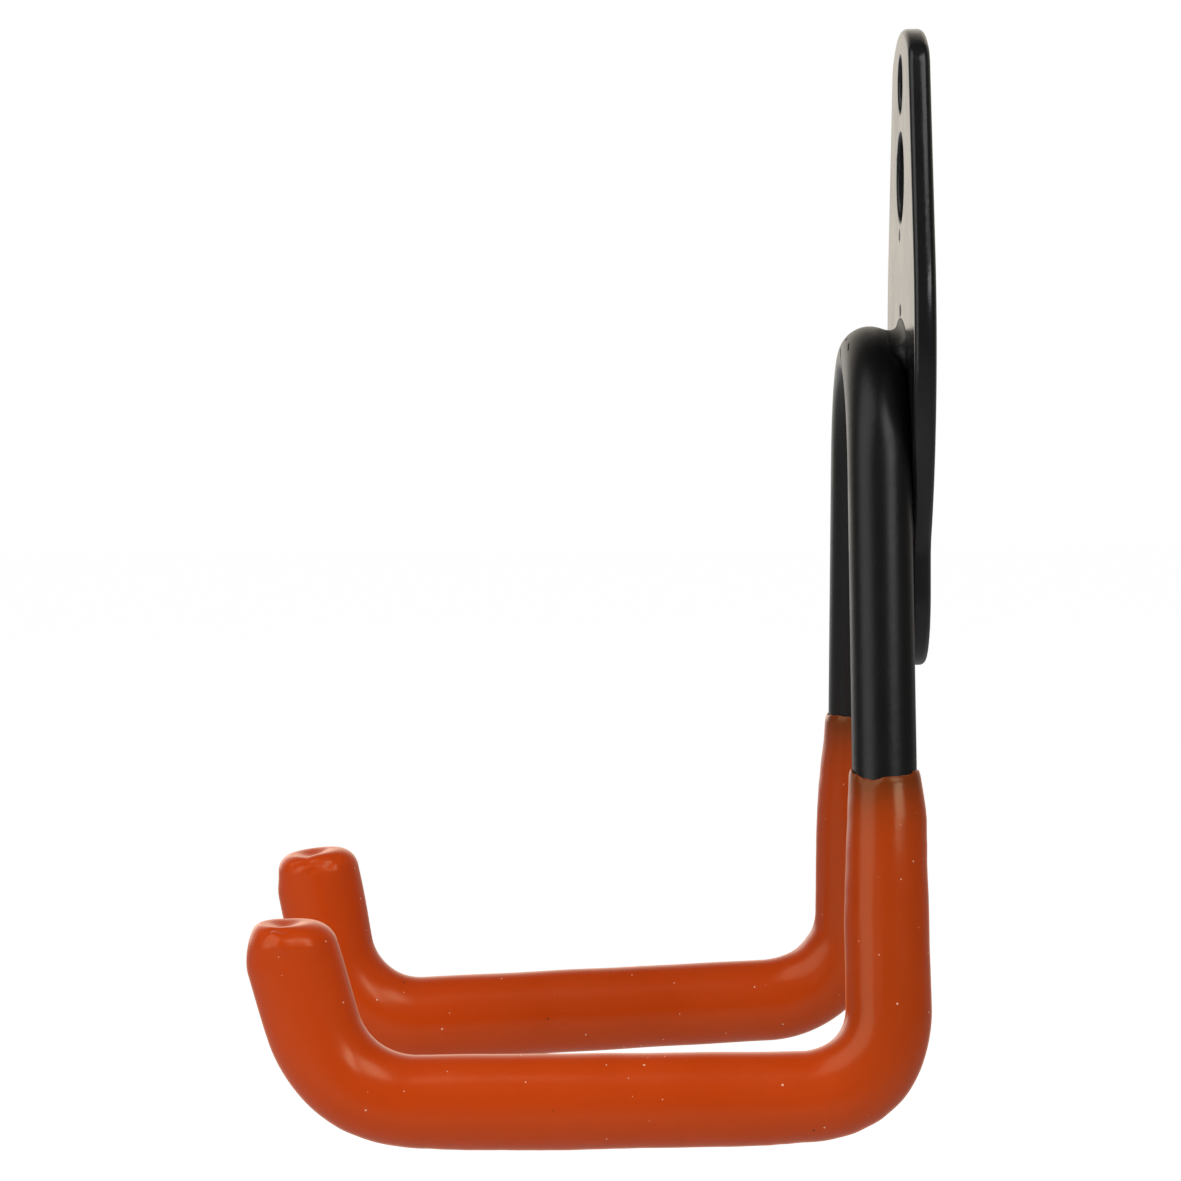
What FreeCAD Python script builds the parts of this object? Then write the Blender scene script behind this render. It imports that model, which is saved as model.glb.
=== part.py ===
import FreeCAD, Part
import math
import os
import Sketcher

# Double storage hook for a wall: one bent steel rod, welded to a steel plate, with both arms
# dipped in soft vinyl. The origin lies on the plate's back face, on the axis of the upper screw
# hole. +Z is up, the wall is at Y = 0 and the arms reach towards -Y.

doc = FreeCAD.newDocument("double_storage_hook")
SHEET = doc.addObject("Spreadsheet::Sheet", "Dimensions")
ROWS = {}
CLOSE = 1e-6


def dimension(alias, value, note):
    """Writes one dimension, in millimetres or degrees, or its formula as a row of the sheet."""
    row = len(ROWS) + 1
    ROWS[alias] = row
    SHEET.set(f"A{row}", alias.replace("_", " "))
    SHEET.set(f"B{row}", str(value))
    SHEET.set(f"C{row}", note)
    SHEET.setAlias(f"B{row}", alias)


# The plate: 2.5 mm sheet with its powder coat, blanked and tumbled so that every edge is round
dimension("plate_thickness", 2.8, "sheet and both coats of powder")
dimension("plate_top", 7.1, "top edge above the upper hole")
dimension("tab_width", 28, "lower tab between the legs")
dimension("shoulder_reach", 8.3, "how far each shoulder stands out beyond the tab")
dimension("shoulder_drop", 34, "widest line below the upper hole")
dimension("shoulder_radius", 42, "round of the plate's shoulders")
dimension("side_taper_angle", 17, "lean of the sides above the shoulders")
dimension("crown_radius", 24, "round of the plate's top edge")
dimension("top_corner_radius", 4.5, "corners beside the top edge")
dimension("throat_radius", 5, "inner round where the shoulder meets the tab")
dimension("tab_side", 4.3, "straight side of the tab")
dimension("tab_corner_radius", 10, "lower corners of the tab")
dimension("plate_edge_round", 0.8, "round along the plate's edges")
dimension("throat_drop", "=shoulder_drop + sqrt((shoulder_radius + throat_radius)^2"
          " - (shoulder_radius + throat_radius - shoulder_reach)^2)", "the throat's centre")
dimension("bottom_drop", "=throat_drop + tab_side + tab_corner_radius", "the plate's bottom edge")

# Screw holes down the plate's middle line
dimension("upper_hole_bore", 7.4, "diameter")
dimension("middle_hole_bore", 11.6, "diameter")
dimension("middle_hole_drop", 12, "below the upper hole")
dimension("lower_hole_bore", 7.4, "diameter, in the tab")
dimension("lower_hole_rise", 9.8, "above the plate's bottom edge")
dimension("lower_hole_drop", "=bottom_drop - lower_hole_rise", "below the upper hole")
dimension("hole_rim_round", 0.5, "round of each hole's front rim")

# The rod: one length of round bar with five bends
dimension("rod_diameter", 8, "bar and its powder coat")
dimension("crown_bend_radius", 17.9, "to the bar's middle line")
dimension("crown_drop", 35.1, "middle line of the crown below the upper hole")
dimension("leg_splay_angle", 11.3, "each leg's lean outwards")
dimension("arm_drop", 125.4, "where leg and arm meet, below the upper hole")
dimension("right_arm_bend_radius", 10.7, "leg to arm, to the bar's middle line")
dimension("left_arm_bend_radius", 13, "leg to arm, to the bar's middle line")
dimension("tip_bend_radius", 12.9, "arm to tip, to the bar's middle line")
dimension("toe_in_angle", 2.5, "turn of each arm towards the middle")
dimension("right_arm_reach", 68.1, "leg corner to tip corner")
dimension("left_arm_reach", 71.9, "leg corner to tip corner")
dimension("right_arm_dip_angle", 1, "droop of the arm")
dimension("left_arm_dip_angle", 2.4, "droop of the arm")
dimension("right_tip_lean_angle", 15.9, "lean of the tip away from the wall")
dimension("left_tip_lean_angle", 10.6, "lean of the tip away from the wall")
dimension("right_tip_length", 23.4, "tip corner to the end of the vinyl")
dimension("left_tip_length", 24.9, "tip corner to the end of the vinyl")

# The vinyl dip on each arm: thin at its edge, thicker towards the tip that hung lowest
dimension("right_dip_line_drop", 86.9, "edge of the vinyl below the upper hole")
dimension("left_dip_line_drop", 84.5, "edge of the vinyl below the upper hole")
dimension("edge_film", 0.35, "thickness at the edge")
dimension("leg_film", 1.28, "full thickness on the leg")
dimension("arm_film", 1.74, "thickness along the arm")
dimension("tip_film", 1.9, "thickness at the tip")
dimension("end_film", 2.6, "thickness over the bar's end")
dimension("feather_length", 12, "from the edge to the full thickness")
dimension("end_round", 3.9, "round of the dipped end")
dimension("dimple_depth", 0.6, "of the dent in the dipped end")

# Welds between bar and plate
dimension("crown_weld_angle", 64, "arc of the bead over the crown")
dimension("weld_toe", 1.0, "reach of a bead on the plate beyond the bar")
dimension("weld_root", 1.2, "height of the unfilled gap beside the line of contact")
dimension("weld_wrap_angle", 66, "how far a bead climbs round the bar")
dimension("weld_hollow", 0.34, "depth of the hollow in a bead's outer face")
dimension("inner_weld_angle", 30, "arc of each bead inside the crown, upwards from the leg")

doc.recompute()


def size(alias):
    return float(SHEET.get(alias))


def origin_plane(body, role):
    return next(plane for plane in body.Origin.OriginFeatures if plane.Role == role)


def vector(x, y, z):
    return FreeCAD.Vector(x, y, z)


# Back plate: half of the outline is drawn, padded and mirrored
def half_outline(sketch):
    """Draws the right half of the plate from the top centre to the bottom centre."""
    half_tab = size("tab_width") / 2
    top = size("plate_top")
    bottom = -size("bottom_drop")
    shoulder = -size("shoulder_drop")
    taper = math.radians(size("side_taper_angle"))
    big = size("shoulder_radius")
    crown = size("crown_radius")
    corner = size("top_corner_radius")
    throat = size("throat_radius")
    tab_corner = size("tab_corner_radius")
    centre_x = half_tab + size("shoulder_reach") - big

    # The taper line in normal form places the corner arc between it and the crown arc
    reach = big - corner
    crown_centre = top - crown
    normal = (math.cos(taper), math.sin(taper))
    side = centre_x * normal[0] + shoulder * normal[1] + reach
    along = (-normal[1], normal[0])
    offset = side - crown_centre * normal[1]
    run = math.sqrt((crown - corner) ** 2 - offset ** 2)
    corner_x = offset * normal[0] + run * along[0]
    corner_z = crown_centre + offset * normal[1] + run * along[1]
    crown_angle = math.atan2(corner_z - crown_centre, corner_x)

    # The throat arc touches the shoulder's arc and the tab's side from outside
    throat_x = half_tab + throat
    throat_z = -size("throat_drop")
    flank = math.atan2(shoulder - throat_z, throat_x - centre_x)

    def arc(x, z, radius, first, last):
        circle = Part.Circle(vector(x, z, 0), vector(0, 0, 1), radius)
        return sketch.addGeometry(Part.ArcOfCircle(circle, first, last), False)

    def line(x0, z0, x1, z1):
        return sketch.addGeometry(Part.LineSegment(vector(x0, z0, 0), vector(x1, z1, 0)), False)

    top_arc = arc(0, crown_centre, crown, crown_angle, math.pi / 2)
    corner_arc = arc(corner_x, corner_z, corner, taper, crown_angle)
    side_line = line(corner_x + corner * normal[0], corner_z + corner * normal[1],
                     centre_x + big * normal[0], shoulder + big * normal[1])
    shoulder_arc = arc(centre_x, shoulder, big, -flank, taper)
    throat_arc = arc(throat_x, throat_z, throat, math.pi - flank, math.pi)
    tab_line = line(half_tab, throat_z, half_tab, bottom + tab_corner)
    tab_arc = arc(half_tab - tab_corner, bottom + tab_corner, tab_corner, -math.pi / 2, 0)
    bottom_line = line(half_tab - tab_corner, bottom, 0, bottom)
    middle_line = line(0, bottom, 0, top)

    START, END, MIDDLE = 1, 2, 3
    VERTICAL_AXIS = -2
    ORIGIN = (-1, 1)

    def rule(kind, *values):
        return sketch.addConstraint(Sketcher.Constraint(kind, *values))

    def bound(kind, *values, to):
        index = rule(kind, *values)
        sketch.setExpression(f"Constraints[{index}]", to)

    rule("Tangent", top_arc, START, corner_arc, END)
    rule("Tangent", corner_arc, START, side_line, START)
    rule("Tangent", side_line, END, shoulder_arc, END)
    rule("Tangent", shoulder_arc, START, throat_arc, START)
    rule("Tangent", throat_arc, END, tab_line, START)
    rule("Tangent", tab_line, END, tab_arc, END)
    rule("Tangent", tab_arc, START, bottom_line, START)
    rule("Coincident", bottom_line, END, middle_line, START)
    rule("Coincident", middle_line, END, top_arc, END)
    rule("Vertical", tab_line)
    rule("Vertical", middle_line)
    rule("Horizontal", bottom_line)
    rule("PointOnObject", middle_line, START, VERTICAL_AXIS)
    rule("PointOnObject", top_arc, MIDDLE, VERTICAL_AXIS)

    bound("Radius", top_arc, crown, to="Dimensions.crown_radius")
    bound("Radius", corner_arc, corner, to="Dimensions.top_corner_radius")
    bound("Radius", shoulder_arc, big, to="Dimensions.shoulder_radius")
    bound("Radius", throat_arc, throat, to="Dimensions.throat_radius")
    bound("Radius", tab_arc, tab_corner, to="Dimensions.tab_corner_radius")
    bound("DistanceY", *ORIGIN, middle_line, END, top, to="Dimensions.plate_top")
    bound("DistanceY", tab_line, END, tab_line, START, size("tab_side"), to="Dimensions.tab_side")
    bound("DistanceY", shoulder_arc, MIDDLE, *ORIGIN, -shoulder, to="Dimensions.shoulder_drop")
    bound("DistanceX", shoulder_arc, MIDDLE, *ORIGIN, -centre_x,
          to="Dimensions.shoulder_radius - Dimensions.shoulder_reach - Dimensions.tab_width / 2")
    bound("DistanceX", *ORIGIN, tab_line, START, half_tab, to="Dimensions.tab_width / 2")
    bound("Angle", side_line, math.radians(-90) + taper, to="Dimensions.side_taper_angle * 1deg - 90deg")


def hole_sketch(body, name, bore, drop):
    sketch = body.newObject("Sketcher::SketchObject", name)
    sketch.AttachmentSupport = (origin_plane(body, "XZ_Plane"), [""])
    sketch.MapMode = "FlatFace"
    circle = Part.Circle(vector(0, -size(drop) if drop else 0, 0), vector(0, 0, 1), size(bore) / 2)
    ring = sketch.addGeometry(circle, False)
    index = sketch.addConstraint(Sketcher.Constraint("Diameter", ring, size(bore)))
    sketch.setExpression(f"Constraints[{index}]", f"Dimensions.{bore}")
    if drop is None:
        sketch.addConstraint(Sketcher.Constraint("Coincident", ring, 3, -1, 1))
    else:
        sketch.addConstraint(Sketcher.Constraint("PointOnObject", ring, 3, -2))
        index = sketch.addConstraint(Sketcher.Constraint("DistanceY", ring, 3, -1, 1, size(drop)))
        sketch.setExpression(f"Constraints[{index}]", f"Dimensions.{drop}")
    return sketch


def back_plate():
    body = doc.addObject("PartDesign::Body", "back_plate")
    outline = body.newObject("Sketcher::SketchObject", "plate_half_outline")
    outline.AttachmentSupport = (origin_plane(body, "XZ_Plane"), [""])
    outline.MapMode = "FlatFace"
    half_outline(outline)

    # The XZ plane's normal is -Y, so a pad grows from the wall towards the arms
    pad = body.newObject("PartDesign::Pad", "plate_half")
    pad.Profile = outline
    pad.setExpression("Length", "Dimensions.plate_thickness")
    mirrored = body.newObject("PartDesign::Mirrored", "plate_blank")
    mirrored.Originals = [pad]
    mirrored.MirrorPlane = (origin_plane(body, "YZ_Plane"), [""])
    mirrored.Refine = True
    body.Tip = mirrored
    doc.recompute()

    rounded = body.newObject("PartDesign::Fillet", "plate_rounded_edges")
    rounded.Base = (mirrored, plate_rim_edges(mirrored.Shape))
    rounded.setExpression("Radius", "Dimensions.plate_edge_round")
    body.Tip = rounded
    doc.recompute()

    for name, bore, drop in (
        ("upper_screw_hole", "upper_hole_bore", None),
        ("middle_hole", "middle_hole_bore", "middle_hole_drop"),
        ("lower_screw_hole", "lower_hole_bore", "lower_hole_drop"),
    ):
        pocket = body.newObject("PartDesign::Pocket", name)
        pocket.Profile = hole_sketch(body, name + "_circle", bore, drop)
        pocket.Type = "ThroughAll"
        pocket.Midplane = True
        body.Tip = pocket
    doc.recompute()

    rims = body.newObject("PartDesign::Fillet", "hole_rims")
    rims.Base = (pocket, hole_rim_edges(pocket.Shape))
    rims.setExpression("Radius", "Dimensions.hole_rim_round")
    body.Tip = rims
    doc.recompute()
    return body


def lies_in_face(edge):
    """Tells the edges of the front and back faces from those through the thickness."""
    return edge.BoundBox.YLength < CLOSE


def plate_rim_edges(shape):
    return [f"Edge{number}" for number, edge in enumerate(shape.Edges, 1) if lies_in_face(edge)]


def hole_rim_edges(shape):
    """Names the full circles on the front face."""
    front = -size("plate_thickness")
    return [
        f"Edge{number}" for number, edge in enumerate(shape.Edges, 1)
        if edge.isClosed() and lies_in_face(edge) and abs(edge.BoundBox.YMin - front) < CLOSE
    ]


# Hook rod: straight stretches joined by tangent bends, all from the same corner points
RIGHT = 1
LEFT = -1
SIDE_NAME = {RIGHT: "right", LEFT: "left"}


def bar_plane():
    """Y of the bar's middle line, where it lies against the plate's front face."""
    return -(size("plate_thickness") + size("rod_diameter") / 2)


def crown_centre_height():
    return -size("crown_drop") - size("crown_bend_radius")


def splay():
    return math.radians(size("leg_splay_angle"))


def apex():
    """Where the two legs' middle lines would meet above the crown."""
    height = crown_centre_height() + size("crown_bend_radius") / math.sin(splay())
    return vector(0, bar_plane(), height)


def leg_direction(side):
    return vector(side * math.sin(splay()), 0, -math.cos(splay()))


def arm_corners(side):
    """Leg corner, tip corner and the end of the dipped tip, on the bar's middle line."""
    word = SIDE_NAME[side]
    toe = math.radians(size("toe_in_angle"))
    dip = math.radians(size(word + "_arm_dip_angle"))
    lean = math.radians(size(word + "_tip_lean_angle"))
    top = apex()
    leg = leg_direction(side)
    corner = top + leg * ((top.z + size("arm_drop")) / -leg.z)
    arm = vector(-side * math.sin(toe) * math.cos(dip), -math.cos(toe) * math.cos(dip), -math.sin(dip))
    tip = vector(-side * math.sin(toe) * math.sin(lean), -math.cos(toe) * math.sin(lean), math.cos(lean))
    turn = corner + arm * size(word + "_arm_reach")
    end = turn + tip * size(word + "_tip_length")
    return corner, turn, end


def bent_edges(points, radii):
    """Edges through the first and last points, with an arc of the given radius at each corner."""
    edges = []
    start = points[0]
    for before, corner, after, radius in zip(points, points[1:], points[2:], radii):
        back = (before - corner).normalize()
        ahead = (after - corner).normalize()
        half = back.getAngle(ahead) / 2
        cut = radius / math.tan(half)
        inward = (back + ahead).normalize()
        entry = corner + back * cut
        leave = corner + ahead * cut
        middle = corner + inward * (radius / math.sin(half) - radius)
        edges.append(Part.LineSegment(start, entry).toShape())
        edges.append(Part.Arc(entry, middle, leave).toShape())
        start = leave
    edges.append(Part.LineSegment(start, points[-1]).toShape())
    return edges


def shortened(end, turn, amount):
    return end - (end - turn).normalize() * amount


def hook_rod():
    corners = {side: arm_corners(side) for side in (RIGHT, LEFT)}
    ends = {side: shortened(end, turn, size("end_film")) for side, (corner, turn, end) in corners.items()}
    points = [
        ends[LEFT], corners[LEFT][1], corners[LEFT][0], apex(),
        corners[RIGHT][0], corners[RIGHT][1], ends[RIGHT],
    ]
    tip_bend = size("tip_bend_radius")
    radii = [
        tip_bend, size("left_arm_bend_radius"), size("crown_bend_radius"),
        size("right_arm_bend_radius"), tip_bend,
    ]
    path = doc.addObject("Part::Feature", "rod_middle_line")
    path.Shape = Part.Wire(bent_edges(points, radii))
    print("rod length", round(path.Shape.Length, 2))

    section = doc.addObject("Part::Circle", "rod_section")
    section.setExpression("Radius", "Dimensions.rod_diameter / 2")
    start = path.Shape.Edges[0]
    heading = start.tangentAt(start.FirstParameter)
    section.Placement = FreeCAD.Placement(points[0], FreeCAD.Rotation(vector(0, 0, 1), heading))

    rod = doc.addObject("Part::Sweep", "hook_rod")
    rod.Sections = [section]
    rod.Spine = (path, [f"Edge{number}" for number in range(1, len(path.Shape.Edges) + 1)])
    rod.Solid = True
    rod.Frenet = False
    doc.recompute()
    return rod


# Vinyl coatings: turned at the leg and at the tip, swept between them
def heading_frame(position, heading):
    """A placement that turns +Z to the heading and keeps the seam of every section in line."""
    across = (vector(1, 0, 0) - heading * heading.x).normalize()
    return FreeCAD.Placement(position, FreeCAD.Rotation(across, heading.cross(across), heading, "ZXY"))


def ring(position, heading, radius):
    circle = Part.makeCircle(radius)
    circle.Placement = heading_frame(position, heading)
    return Part.Wire([circle])


def swept(edge, first_radius, last_radius):
    """A round solid along one edge of the arm's middle line."""
    pipe = Part.BRepOffsetAPI.MakePipeShell(Part.Wire([edge]))
    for place, radius in ((edge.FirstParameter, first_radius), (edge.LastParameter, last_radius)):
        pipe.add(ring(edge.valueAt(place), edge.tangentAt(place), radius))
    pipe.build()
    pipe.makeSolid()
    return pipe.shape()


def turned(outline, position, heading):
    """Turns an outline of radius and distance about the heading that starts at the position."""
    solid = Part.Face(Part.Wire(outline)).revolve(vector(0, 0, 0), vector(0, 0, 1), 360)
    solid.Placement = heading_frame(position, heading)
    return solid


def segment(first, last):
    return Part.LineSegment(vector(first[0], 0, first[1]), vector(last[0], 0, last[1])).toShape()


def bow(first, middle, last):
    points = (vector(point[0], 0, point[1]) for point in (first, middle, last))
    return Part.Arc(*points).toShape()


def half_way_rise(span, rise):
    """How far an arc, level at one end, has risen half-way along its span."""
    radius = (span ** 2 + rise ** 2) / (2 * rise)
    return radius - math.sqrt(radius ** 2 - (span / 2) ** 2)


def feathered_leg(start, heading, length):
    """The dip on the leg: a thin edge that swells to the full film."""
    edge = size("rod_diameter") / 2 + size("edge_film")
    full = size("rod_diameter") / 2 + size("leg_film")
    feather = size("feather_length")
    outline = [
        segment((0, 0), (edge, 0)),
        bow((edge, 0), (full - half_way_rise(feather, full - edge), feather / 2), (full, feather)),
        segment((full, feather), (full, length)),
        segment((full, length), (0, length)),
        segment((0, length), (0, 0)),
    ]
    return turned(outline, start, heading)


def dipped_end(start, heading):
    """The blunt end of the dip: a round shoulder and the dent left by the last drop."""
    outer = size("rod_diameter") / 2 + size("tip_film")
    height = size("end_round")
    depth = size("dimple_depth")
    dent = outer - height
    slope = height * math.sin(math.radians(45))
    floor = height - depth
    outline = [
        segment((0, 0), (outer, 0)),
        bow((outer, 0), (dent + slope, slope), (dent, height)),
        bow((dent, height), (dent / 2, floor + half_way_rise(dent, depth)), (0, floor)),
        segment((0, floor), (0, 0)),
    ]
    return turned(outline, start, heading)


def dip_outside(side):
    """The coating's outer form, with the bar still inside it."""
    word = SIDE_NAME[side]
    bar = size("rod_diameter") / 2
    leg_radius = bar + size("leg_film")
    arm_radius = bar + size("arm_film")
    tip_radius = bar + size("tip_film")
    corner, turn, end = arm_corners(side)
    leg = leg_direction(side)
    start = corner - leg * ((size("arm_drop") - size(word + "_dip_line_drop")) / -leg.z)
    shoulder = shortened(end, turn, size("end_round"))
    leg_line, arm_bend, arm_line, tip_bend, tip_line = bent_edges(
        [start, corner, turn, shoulder],
        [size(word + "_arm_bend_radius"), size("tip_bend_radius")])
    return feathered_leg(start, leg, leg_line.Length).multiFuse([
        swept(arm_bend, leg_radius, arm_radius),
        swept(arm_line, arm_radius, tip_radius),
        swept(tip_bend, tip_radius, tip_radius),
        swept(tip_line, tip_radius, tip_radius),
        dipped_end(shoulder, (end - turn).normalize()),
    ])


def arm_coating(side, rod):
    word = SIDE_NAME[side]
    dip = doc.addObject("Part::Feature", word + "_dip_outside")
    dip.Shape = dip_outside(side)
    coating = doc.addObject("Part::Cut", word + "_arm_coating")
    coating.Base = dip
    coating.Tool = rod
    doc.recompute()
    return coating


# Weld beads: each fills the groove between the round bar and the flat plate
def bead_section():
    """Half of the groove, with the plate along the first axis and the bar's middle off it."""
    bar = size("rod_diameter") / 2
    wrap = math.radians(size("weld_wrap_angle"))
    root = size("weld_root")
    toe = bar + size("weld_toe")
    gap = bar - math.sqrt(bar ** 2 - root ** 2)
    climb = (bar * math.sin(wrap), bar - bar * math.cos(wrap))
    half_wrap = (wrap + math.asin(root / bar)) / 2
    on_bar = (bar * math.sin(half_wrap), bar - bar * math.cos(half_wrap))
    width = math.hypot(toe - climb[0], climb[1])
    sink = size("weld_hollow") / width
    hollow = ((toe + climb[0]) / 2 - climb[1] * sink, climb[1] / 2 - (toe - climb[0]) * sink)
    return (root, 0), (toe, 0), hollow, climb, on_bar, (root, gap)


def bead_face(place):
    """The groove's section as a face; place turns each of its points into a point in space."""
    root, toe, hollow, climb, on_bar, gap = (place(*point) for point in bead_section())
    return Part.Face(Part.Wire([
        Part.LineSegment(root, toe).toShape(),
        Part.Arc(toe, hollow, climb).toShape(),
        Part.Arc(climb, on_bar, gap).toShape(),
        Part.LineSegment(gap, root).toShape(),
    ]))


def crown_weld():
    """Outer bead over the crown, turned about the middle of the crown's bend."""
    front = -size("plate_thickness")
    centre = vector(0, front, crown_centre_height())
    radius = size("crown_bend_radius")
    span = size("crown_weld_angle")
    face = bead_face(lambda out, off: vector(0, front - off, centre.z + radius + out))
    face.rotate(centre, vector(0, 1, 0), -span / 2)
    bead = doc.addObject("Part::Feature", "crown_weld_bead")
    bead.Shape = face.revolve(centre, vector(0, 1, 0), span)
    return bead


def inner_weld(side):
    """Bead inside the crown's bend, from the end of the leg upwards."""
    front = -size("plate_thickness")
    inward = vector(-side * math.cos(splay()), 0, -math.sin(splay()))
    centre = vector(0, front, crown_centre_height())
    start = centre - inward * size("crown_bend_radius")
    face = bead_face(lambda out, off: start + inward * out + vector(0, -off, 0))
    bead = doc.addObject("Part::Feature", SIDE_NAME[side] + "_inner_weld_bead")
    bead.Shape = face.revolve(centre, vector(0, -side, 0), size("inner_weld_angle"))
    return bead


plate = back_plate()
rod = hook_rod()
pieces = [
    plate, rod, arm_coating(RIGHT, rod), arm_coating(LEFT, rod),
    crown_weld(), inner_weld(RIGHT), inner_weld(LEFT),
]
doc.recompute()

for item in doc.Objects:
    if "Invalid" in item.State or "Error" in item.State:
        raise RuntimeError(f"{item.Name} is in state {item.State}")

os.makedirs("parts", exist_ok=True)
for piece in pieces:
    piece.Label = piece.Name
    shape = piece.Shape
    if shape.isNull() or not shape.isValid() or len(shape.Solids) != 1:
        raise RuntimeError(f"{piece.Label} isn't one valid solid")
    shape.exportStep(f"parts/{piece.Label}.step")
    box = shape.BoundBox
    print(f"{piece.Label:24s} volume {shape.Volume:9.1f}  "
          f"x {box.XMin:7.2f} {box.XMax:7.2f}  y {box.YMin:7.2f} {box.YMax:7.2f}  "
          f"z {box.ZMin:8.2f} {box.ZMax:8.2f}")
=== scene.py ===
import math

import bmesh
import bpy
from mathutils import Matrix, Vector, noise


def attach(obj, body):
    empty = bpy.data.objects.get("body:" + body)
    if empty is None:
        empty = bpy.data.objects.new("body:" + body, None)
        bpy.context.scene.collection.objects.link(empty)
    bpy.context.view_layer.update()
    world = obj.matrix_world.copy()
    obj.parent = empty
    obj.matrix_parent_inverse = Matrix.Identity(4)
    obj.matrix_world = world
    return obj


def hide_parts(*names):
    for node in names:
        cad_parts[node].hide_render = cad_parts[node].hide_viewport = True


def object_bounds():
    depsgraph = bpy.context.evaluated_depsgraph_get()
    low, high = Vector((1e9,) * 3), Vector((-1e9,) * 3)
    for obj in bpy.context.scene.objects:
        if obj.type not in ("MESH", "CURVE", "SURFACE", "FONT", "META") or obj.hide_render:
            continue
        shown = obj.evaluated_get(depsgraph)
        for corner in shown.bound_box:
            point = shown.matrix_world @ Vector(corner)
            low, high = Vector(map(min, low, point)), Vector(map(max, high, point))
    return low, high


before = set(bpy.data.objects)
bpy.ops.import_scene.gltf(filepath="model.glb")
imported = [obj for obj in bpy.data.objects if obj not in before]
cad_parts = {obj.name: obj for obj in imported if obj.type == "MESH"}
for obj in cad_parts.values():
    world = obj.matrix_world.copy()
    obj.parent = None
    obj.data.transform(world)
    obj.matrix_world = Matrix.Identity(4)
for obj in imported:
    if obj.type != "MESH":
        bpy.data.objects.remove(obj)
cad_low, cad_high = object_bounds()

scene = bpy.context.scene
MM = 0.001

# Camera: beside the hook and a little in front of the plate, looking along the wall and slightly
# down, so that the near arm covers the plate's lower end.
camera_place = Vector((435.849, -37.888, -35.020)) * MM
camera_yaw = 0.012551
camera_pitch = -0.069421
camera_roll = -0.007436
sensor_width = 36.0
picture_width = 1181
focal_pixels = 3335.183

ahead = Vector((-math.cos(camera_yaw) * math.cos(camera_pitch),
                -math.sin(camera_yaw) * math.cos(camera_pitch),
                math.sin(camera_pitch)))
level = Vector((-math.sin(camera_yaw), math.cos(camera_yaw), 0.0))
upright = level.cross(ahead)
camera_right = level * math.cos(camera_roll) + upright * math.sin(camera_roll)
camera_up = upright * math.cos(camera_roll) - level * math.sin(camera_roll)
camera = bpy.data.objects.new("camera", bpy.data.cameras.new("camera"))
camera.matrix_world = Matrix.LocRotScale(
    camera_place, Matrix((camera_right, camera_up, -ahead)).transposed().to_quaternion(), None)
camera.data.sensor_width = sensor_width
camera.data.lens = focal_pixels * sensor_width / picture_width
camera.data.clip_start = 0.01
scene.collection.objects.link(camera)
scene.camera = camera


# Studio: a white floor and a white surround behind the hook, dim on the camera's side. Soft boxes in
# front, on the wall's side and behind give the long highlights; two fills lift the near faces and
# the tops and show in no reflection.
def add(tree, kind, inputs=None, **settings):
    """Adds a node; an input is given a value, a socket, or a node whose first output it takes."""
    made = tree.nodes.new(kind)
    for name, value in settings.items():
        setattr(made, name, value)
    for key, value in (inputs or {}).items():
        source = value.outputs[0] if isinstance(value, bpy.types.Node) else value
        if isinstance(source, bpy.types.NodeSocket):
            tree.links.new(source, made.inputs[key])
        else:
            made.inputs[key].default_value = source
    return made


def paint(code):
    """A colour written as sRGB, made linear."""
    shares = [int(code[place:place + 2], 16) / 255 for place in (1, 3, 5)]
    return tuple(s / 12.92 if s <= 0.04045 else ((s + 0.055) / 1.055) ** 2.4 for s in shares) + (1.0,)


def soft_box(name, azimuth, elevation, distance, width, height, glow, reflected):
    """An area lamp aimed at the hook, its azimuth counted from +X towards +Y; a glow of 1 is white."""
    turn, rise = math.radians(azimuth), math.radians(elevation)
    reach = distance * math.cos(rise)
    place = hook_middle + Vector((
        reach * math.cos(turn), reach * math.sin(turn), distance * math.sin(rise)))
    lamp = bpy.data.lights.new(name, "AREA")
    lamp.shape = "RECTANGLE"
    lamp.size = width
    lamp.size_y = height
    lamp.energy = glow * math.pi * width * height
    box = bpy.data.objects.new(name, lamp)
    box.location = place
    box.rotation_euler = (hook_middle - place).to_track_quat("-Z", "Y").to_euler()
    box.visible_camera = False
    box.visible_glossy = reflected
    scene.collection.objects.link(box)


hook_middle = (cad_low + cad_high) / 2
# name, azimuth, elevation, distance, width, height, glow, seen in reflections
soft_box("front_box", -62, 34, 0.75, 0.62, 1.2, 1.15, True)
soft_box("wall_box", 41, 22.8, 0.9, 0.42, 0.15, 4.5, True)
soft_box("upper_box", 44, 48, 0.9, 0.45, 0.42, 2.3, True)
soft_box("rim_box", -155, 4, 0.9, 0.4, 0.4, 0.7, True)
soft_box("low_fill", -26, 2, 0.9, 0.25, 0.25, 6.2, False)
soft_box("top_fill", 30, 62, 0.9, 0.5, 0.5, 1.2, False)

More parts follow.
